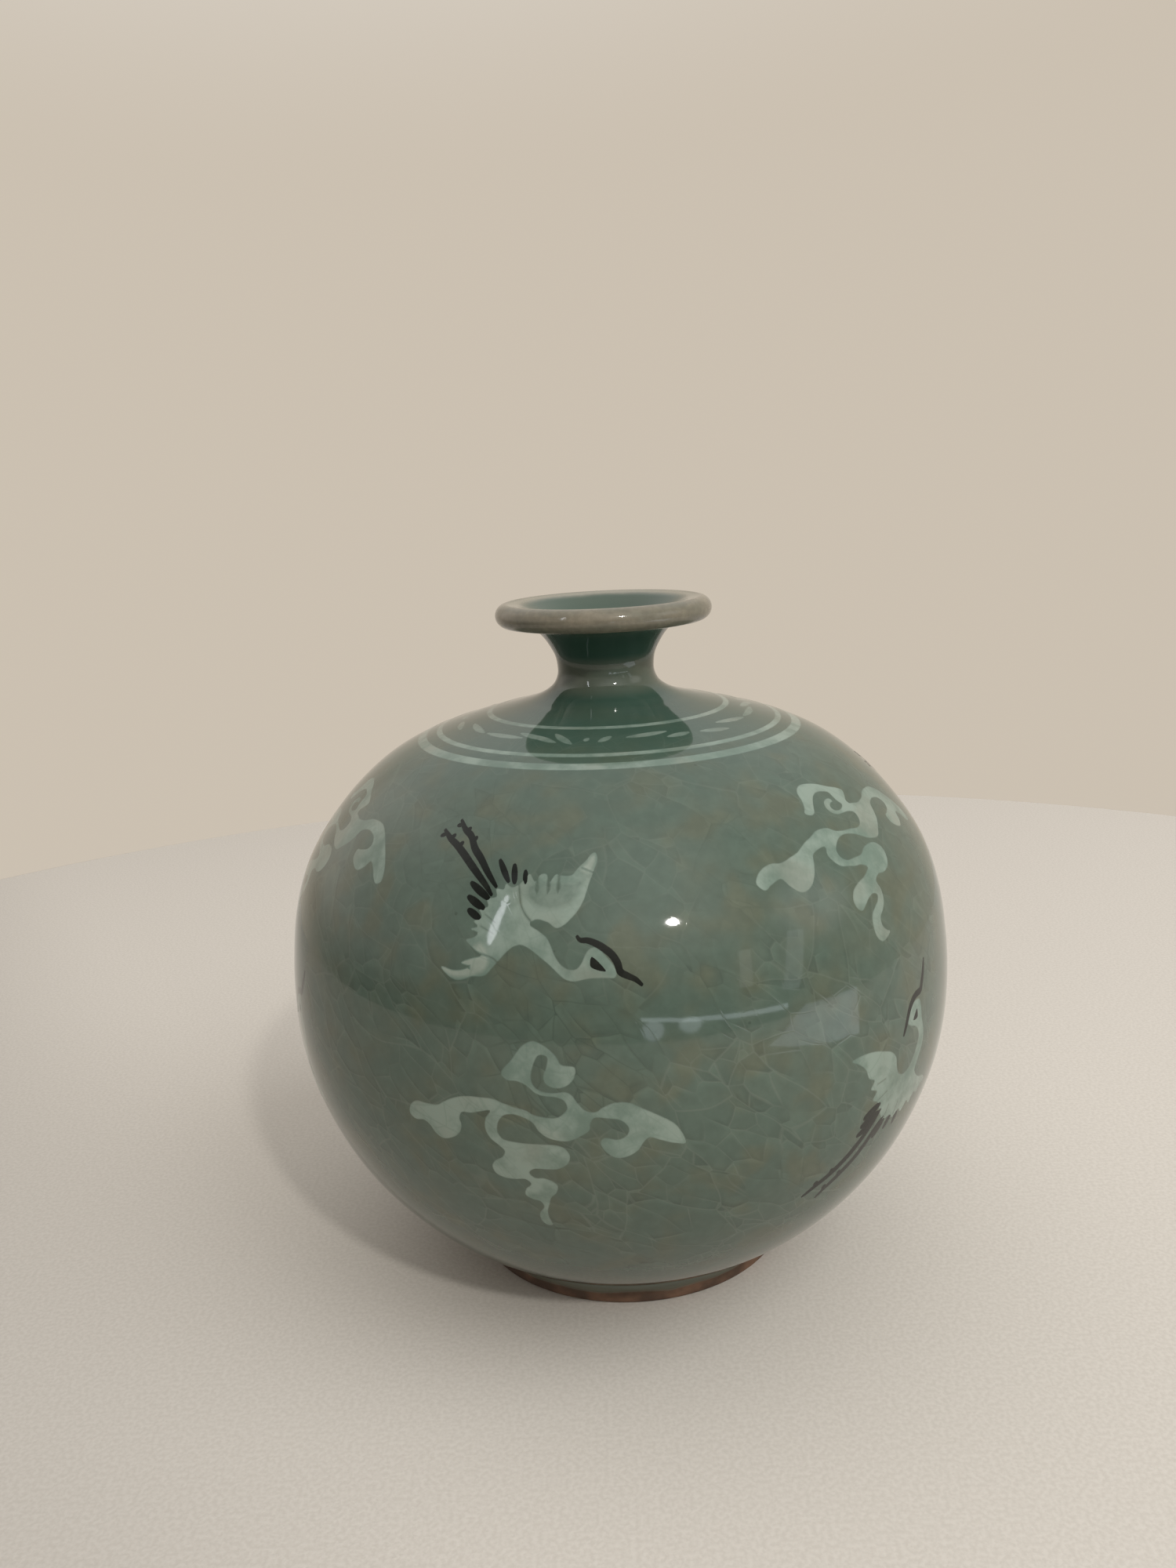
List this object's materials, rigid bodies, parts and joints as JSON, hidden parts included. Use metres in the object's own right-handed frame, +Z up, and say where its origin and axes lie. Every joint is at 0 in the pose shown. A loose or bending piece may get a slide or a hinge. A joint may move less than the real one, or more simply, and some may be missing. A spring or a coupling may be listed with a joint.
{
  "type": "celadon vase",
  "caption": "Globular celadon vase with a narrow waisted neck, fat rolled lip and low foot ring, inlaid with cranes, clouds and shoulder rings.",
  "frame": {"origin": "middle of the foot ring, on the surface that the vase stands on", "axes": "+Z up along the vase's axis, -Y towards the viewer of the picture (the side with the flying crane above the cloud), +X to that viewer's right"},
  "size_m": [0.12, 0.12, 0.1213],
  "materials": {
    "celadon": "glossy grey-green celadon glaze with fine crackle",
    "lip_glaze": "thin glossy glaze over grey-brown clay",
    "foot_clay": "matt unglazed clay fired rust brown, glazed on its upper edge",
    "white_inlay": "white clay under the glossy green glaze",
    "black_inlay": "black clay under the glossy green glaze"
  },
  "bodies": {
    "root": {"globe_body": "celadon", "foot_ring": "foot_clay", "neck": "celadon", "rolled_lip": "lip_glaze", "inner_ring_inlay": "white_inlay", "middle_ring_inlay": "white_inlay", "outer_ring_inlay": "white_inlay", "upper_crane_1": "white_inlay", "upper_crane_1_crest": "black_inlay", "upper_crane_1_leg_left": "black_inlay", "upper_crane_1_leg_right": "black_inlay", "upper_crane_1_eye": "black_inlay", "upper_crane_2": "white_inlay", "upper_crane_2_crest": "black_inlay", "upper_crane_2_leg_left": "black_inlay", "upper_crane_2_leg_right": "black_inlay", "upper_crane_2_eye": "black_inlay", "upper_crane_3": "white_inlay", "upper_crane_3_crest": "black_inlay", "upper_crane_3_leg_left": "black_inlay", "upper_crane_3_leg_right": "black_inlay", "upper_crane_3_eye": "black_inlay", "lower_crane_1": "white_inlay", "lower_crane_1_crest": "black_inlay", "lower_crane_1_leg_left": "black_inlay", "lower_crane_1_leg_right": "black_inlay", "lower_crane_1_eye": "black_inlay", "lower_crane_2": "white_inlay", "lower_crane_2_crest": "black_inlay", "lower_crane_2_leg_left": "black_inlay", "lower_crane_2_leg_right": "black_inlay", "lower_crane_2_eye": "black_inlay", "lower_crane_3": "white_inlay", "lower_crane_3_crest": "black_inlay", "lower_crane_3_leg_left": "black_inlay", "lower_crane_3_leg_right": "black_inlay", "lower_crane_3_eye": "black_inlay", "upper_cloud_1": "white_inlay", "upper_cloud_2": "white_inlay", "upper_cloud_3": "white_inlay", "lower_cloud_1": "white_inlay", "lower_cloud_2": "white_inlay", "lower_cloud_3": "white_inlay"}
  },
  "joints": []
}
